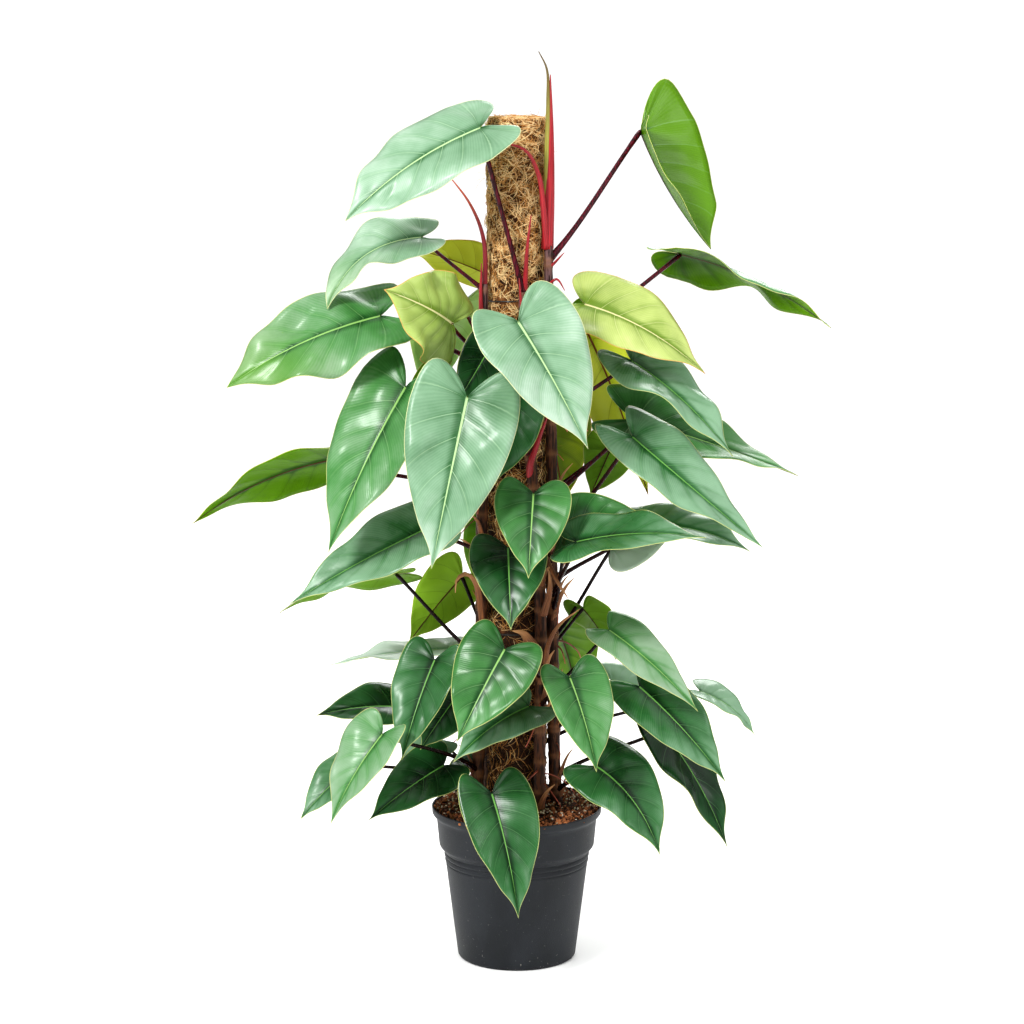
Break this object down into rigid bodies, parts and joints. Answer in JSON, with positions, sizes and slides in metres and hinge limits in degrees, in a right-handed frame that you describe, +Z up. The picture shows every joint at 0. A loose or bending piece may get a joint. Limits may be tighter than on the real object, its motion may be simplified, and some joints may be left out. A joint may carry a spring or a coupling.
{
  "type": "potted philodendron",
  "caption": "Potted climbing philodendron with glossy heart-shaped leaves on dark red stalks, trained up a coir pole in a round black plastic pot.",
  "frame": {"origin": "centre of the pot's underside, which rests on the floor", "axes": "+Z up along the pole; -Y towards the front, the side that the picture shows; +X to the viewer's right"},
  "size_m": [0.8805, 0.4951, 1.2693],
  "materials": {
    "pot": "satin charcoal black",
    "soil": "damp bark and peat with pale specks",
    "stake": "plain",
    "coir": "rough coconut fibre",
    "wire": "thin coated wire",
    "stem": "satin dark red to brown",
    "sheath": "satin crimson",
    "leaf_mint": "glossy pale green",
    "leaf_fresh": "glossy mid green",
    "leaf_lime": "glossy yellow green",
    "leaf_deep": "glossy deep green"
  },
  "bodies": {
    "root": {"pot": "pot", "soil": "soil", "pole_stake": "stake", "pole_coir": "coir", "wire_tie_1": "wire", "wire_tie_2": "wire", "new_leaf_roll": "sheath", "stem_right": "stem", "stem_front": "stem", "stem_left": "stem", "stem_back_left": "stem", "stem_back_right": "stem", "leaf_01": "leaf_mint", "leaf_02": "leaf_fresh", "leaf_03": "leaf_fresh", "leaf_04": "leaf_lime", "leaf_05": "leaf_lime", "leaf_06": "leaf_deep", "leaf_07": "leaf_fresh", "leaf_10": "leaf_deep", "leaf_11": "leaf_deep", "leaf_12": "leaf_deep", "leaf_13": "leaf_fresh", "leaf_14": "leaf_mint", "leaf_15": "leaf_mint", "leaf_16": "leaf_mint", "leaf_17": "leaf_fresh", "leaf_18": "leaf_fresh", "leaf_19": "leaf_lime", "leaf_20": "leaf_fresh", "leaf_21": "leaf_deep", "leaf_22": "leaf_deep", "leaf_24": "leaf_deep", "leaf_25": "leaf_deep", "leaf_26": "leaf_fresh", "leaf_27": "leaf_fresh", "leaf_28": "leaf_mint", "leaf_29": "leaf_deep", "leaf_30": "leaf_deep", "leaf_31": "leaf_fresh", "leaf_32": "leaf_deep", "leaf_33": "leaf_deep", "leaf_35": "leaf_fresh", "leaf_36": "leaf_deep", "leaf_37": "leaf_fresh", "leaf_38": "leaf_deep", "leaf_39": "leaf_deep", "leaf_40": "leaf_deep", "leaf_41": "leaf_fresh", "leaf_44": "leaf_deep", "leaf_46": "leaf_mint", "leaf_47": "leaf_lime", "leaf_51": "leaf_mint", "leaf_52": "leaf_fresh", "leaf_53": "leaf_fresh", "leaf_54": "leaf_lime", "leaf_56": "leaf_fresh", "leaf_57": "leaf_deep", "leaf_58": "leaf_deep"}
  },
  "joints": []
}
